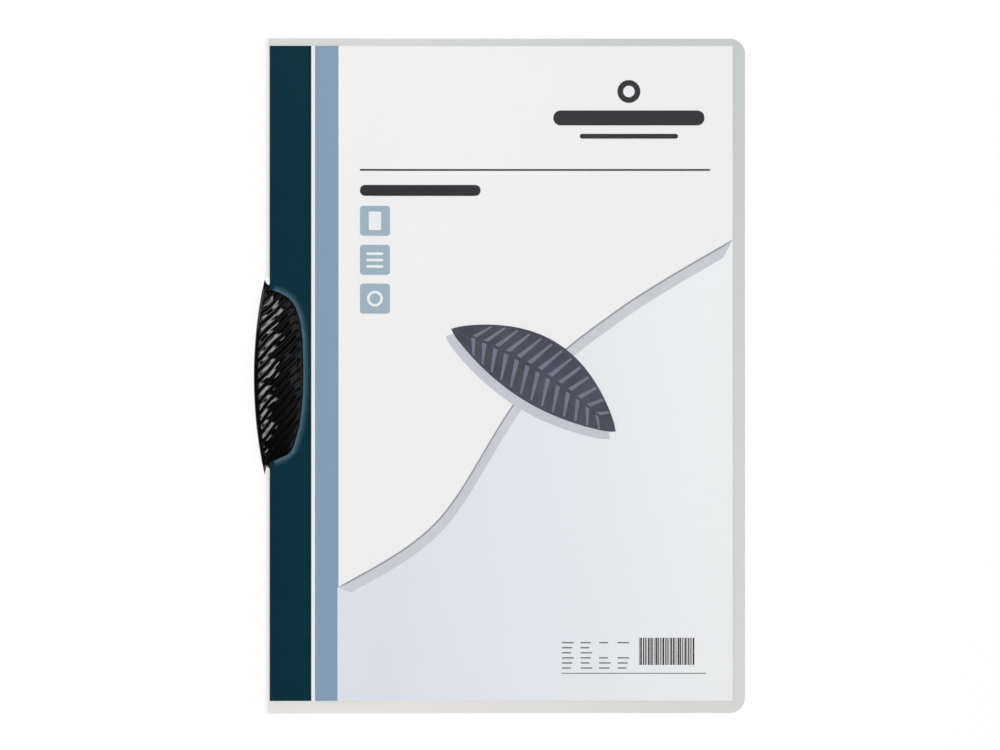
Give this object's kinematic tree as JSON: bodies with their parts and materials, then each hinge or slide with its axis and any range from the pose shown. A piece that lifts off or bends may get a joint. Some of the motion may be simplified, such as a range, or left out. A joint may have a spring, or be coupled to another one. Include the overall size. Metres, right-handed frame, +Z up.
{
  "type": "clip folder",
  "caption": "A4 report folder of clear film with a printed paper sheet inside and a black swing-out spine clip with a waved wing.",
  "frame": {"origin": "middle of the closed folder's outline, on the surface that it lies on", "axes": "+X from the spine to the free edge, +Y to the top of the page, +Z up out of the front cover"},
  "size_m": [0.2226, 0.306, 0.0065],
  "materials": {
    "film": "clear polypropylene film, lightly frosted",
    "paper": "white coated paper with printed bands",
    "clip": "black moulded plastic, glossy"
  },
  "bodies": {
    "folder": {"back_cover": "film", "insert_sheet": "paper"},
    "cover": {"front_cover": "film"},
    "clip": {"swing_clip": "clip"}
  },
  "joints": [
    {"name": "cover_hinge", "type": "hinge", "parent": "folder", "child": "cover", "pos_m": [-0.10469, 0, 0.00397], "axis": [0, -1, 0], "range_deg": [0, 150]},
    {"name": "clip_swing", "type": "hinge", "parent": "folder", "child": "clip", "pos_m": [-0.10218, 0.0395, 0], "axis": [0, 0, -1], "range_deg": [0, 65]}
  ]
}
